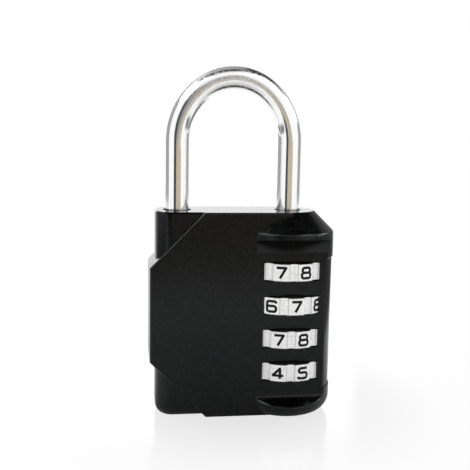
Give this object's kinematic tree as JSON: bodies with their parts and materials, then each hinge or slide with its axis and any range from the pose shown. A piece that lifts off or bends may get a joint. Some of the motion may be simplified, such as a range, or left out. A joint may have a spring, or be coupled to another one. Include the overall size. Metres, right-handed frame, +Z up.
{
  "type": "combination padlock",
  "caption": "Black die-cast combination padlock with a chromed shackle, a split housing, fluted number dials in front windows and a resettable code mechanism inside.",
  "frame": {"origin": "middle of the base on the parting plane", "axes": "+Z up along the shackle's legs, -Y the front with the dial windows, +X towards the dial barrel"},
  "size_m": [0.043, 0.0216, 0.0801],
  "materials": {
    "body_paint": "satin black paint on a zinc casting",
    "shackle_chrome": "bright chrome plating",
    "dial_silver": "satin silver with black numbers",
    "sleeve_brass": "plain turned brass",
    "spring_steel": "bare steel"
  },
  "bodies": {
    "housing": {"front_shell": "body_paint", "rear_shell": "body_paint", "click_spring": "spring_steel", "retaining_pin": "spring_steel", "assembly_pins": "spring_steel", "reset_spring": "spring_steel"},
    "shackle": {"shackle": "shackle_chrome"},
    "washer": {"spring_washer": "spring_steel"},
    "dial_1": {"dial_1": "dial_silver"},
    "dial_2": {"dial_2": "dial_silver"},
    "dial_3": {"dial_3": "dial_silver"},
    "dial_4": {"dial_4": "dial_silver"},
    "code_sleeve_1": {"code_sleeve_1": "sleeve_brass"},
    "code_sleeve_2": {"code_sleeve_2": "sleeve_brass"},
    "code_sleeve_3": {"code_sleeve_3": "sleeve_brass"},
    "code_sleeve_4": {"code_sleeve_4": "sleeve_brass"}
  },
  "joints": [
    {"name": "shackle_lift", "type": "slide", "parent": "housing", "child": "shackle", "axis": [0, 0, 1], "range_m": [0, 0.0078]},
    {"name": "dial_1_turn", "type": "hinge", "parent": "housing", "child": "dial_1", "pos_m": [0.0107, 0, 0.0341], "axis": [0, 0, 1], "continuous": true},
    {"name": "dial_2_turn", "type": "hinge", "parent": "housing", "child": "dial_2", "pos_m": [0.0107, 0, 0.0263], "axis": [0, 0, 1], "continuous": true},
    {"name": "dial_3_turn", "type": "hinge", "parent": "housing", "child": "dial_3", "pos_m": [0.0107, 0, 0.0185], "axis": [0, 0, 1], "continuous": true},
    {"name": "dial_4_turn", "type": "hinge", "parent": "housing", "child": "dial_4", "pos_m": [0.0107, 0, 0.0107], "axis": [0, 0, 1], "continuous": true},
    {"name": "code_sleeve_1_reset", "type": "slide", "parent": "dial_1", "child": "code_sleeve_1", "axis": [0, 0, -1], "range_m": [0, 0.0016], "stiffness_N_per_m": 800, "springref_m": -0.004},
    {"name": "code_sleeve_2_reset", "type": "slide", "parent": "dial_2", "child": "code_sleeve_2", "axis": [0, 0, -1], "range_m": [0, 0.0016]},
    {"name": "code_sleeve_3_reset", "type": "slide", "parent": "dial_3", "child": "code_sleeve_3", "axis": [0, 0, -1], "range_m": [0, 0.0016]},
    {"name": "code_sleeve_4_reset", "type": "slide", "parent": "dial_4", "child": "code_sleeve_4", "axis": [0, 0, -1], "range_m": [0, 0.0016]},
    {"name": "washer_reset", "type": "slide", "parent": "housing", "child": "washer", "axis": [0, 0, -1], "range_m": [0, 0.0016], "deforming": ["reset_spring"]}
  ],
  "couplings": [
    {"joint": "code_sleeve_2_reset", "follows": "code_sleeve_1_reset", "ratio": 1},
    {"joint": "code_sleeve_3_reset", "follows": "code_sleeve_1_reset", "ratio": 1},
    {"joint": "code_sleeve_4_reset", "follows": "code_sleeve_1_reset", "ratio": 1},
    {"joint": "washer_reset", "follows": "code_sleeve_1_reset", "ratio": 1}
  ]
}
